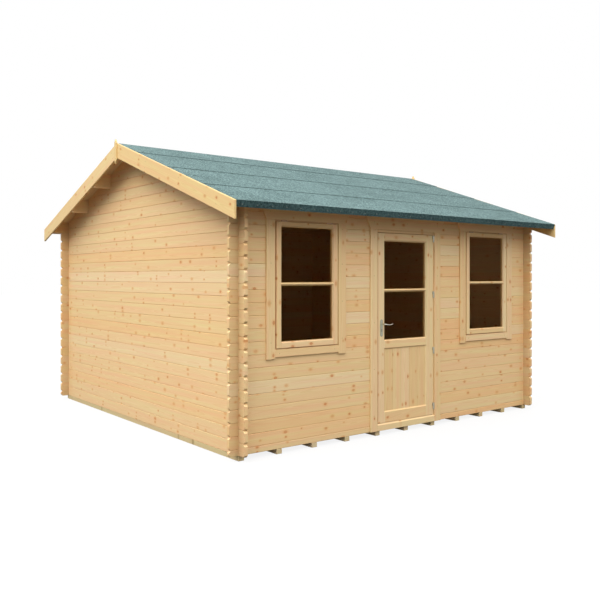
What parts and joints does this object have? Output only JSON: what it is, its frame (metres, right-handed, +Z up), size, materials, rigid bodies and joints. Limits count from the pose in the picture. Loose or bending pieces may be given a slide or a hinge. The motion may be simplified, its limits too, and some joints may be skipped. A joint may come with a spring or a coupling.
{
  "type": "log cabin",
  "caption": "One-room log cabin with crossed-log walls, a felted gable roof, two windows and a glazed door that opens outwards.",
  "frame": {"origin": "on the underside of the bearers, under the middle of the cabin", "axes": "+X along the front wall to the right as seen from outside in front, +Y from the front wall to the rear, +Z up"},
  "size_m": [4.5306, 4.6008, 3.02],
  "materials": {
    "log_pine": "planed unpainted pine logs, matt",
    "board_pine": "planed unpainted pine boards, matt",
    "treated_timber": "pressure-treated sawn timber, pale green grey",
    "green_felt": "mineral roofing felt, fine green grit",
    "clear_glass": "clear flat glass",
    "satin_steel": "zinc-plated and satin steel"
  },
  "bodies": {
    "cabin": {"front_wall_left": "log_pine", "front_wall_right": "log_pine", "front_wall_top": "log_pine", "rear_wall": "log_pine", "left_gable_wall": "log_pine", "right_gable_wall": "log_pine", "left_gable_peak": "log_pine", "right_gable_peak": "log_pine", "floor": "board_pine", "purlins": "board_pine", "front_roof_deck": "board_pine", "rear_roof_deck": "board_pine", "eave_battens": "board_pine", "left_bargeboards": "board_pine", "right_bargeboards": "board_pine", "finials": "board_pine", "window_frame_left": "board_pine", "window_frame_right": "board_pine", "window_trim_left": "board_pine", "window_trim_right": "board_pine", "window_sash_left": "board_pine", "window_sash_right": "board_pine", "door_frame": "board_pine", "door_trim": "board_pine", "threshold": "board_pine", "bearers": "treated_timber", "front_felt": "green_felt", "rear_felt": "green_felt", "ridge_felt": "green_felt", "eave_felts": "green_felt", "window_glass_left": "clear_glass", "window_glass_right": "clear_glass", "window_hinges_left": "satin_steel", "window_hinges_right": "satin_steel", "door_hinges_fixed": "satin_steel"},
    "door": {"door_leaf": "board_pine", "door_panel": "board_pine", "door_glass": "clear_glass", "door_hinges_moving": "satin_steel", "handle_plates": "satin_steel"},
    "lever": {"door_lever": "satin_steel"}
  },
  "joints": [
    {"name": "door_hinge", "type": "hinge", "parent": "cabin", "child": "door", "pos_m": [0.4025, -2.0388, 1.019], "axis": [0, 0, 1], "range_deg": [0, 105]},
    {"name": "lever_turn", "type": "hinge", "parent": "door", "child": "lever", "pos_m": [-0.354, -2.025, 1.103], "axis": [0, 1, 0], "range_deg": [0, 40], "stiffness_Nm_per_rad": 1.5, "springref_deg": -17.19}
  ]
}
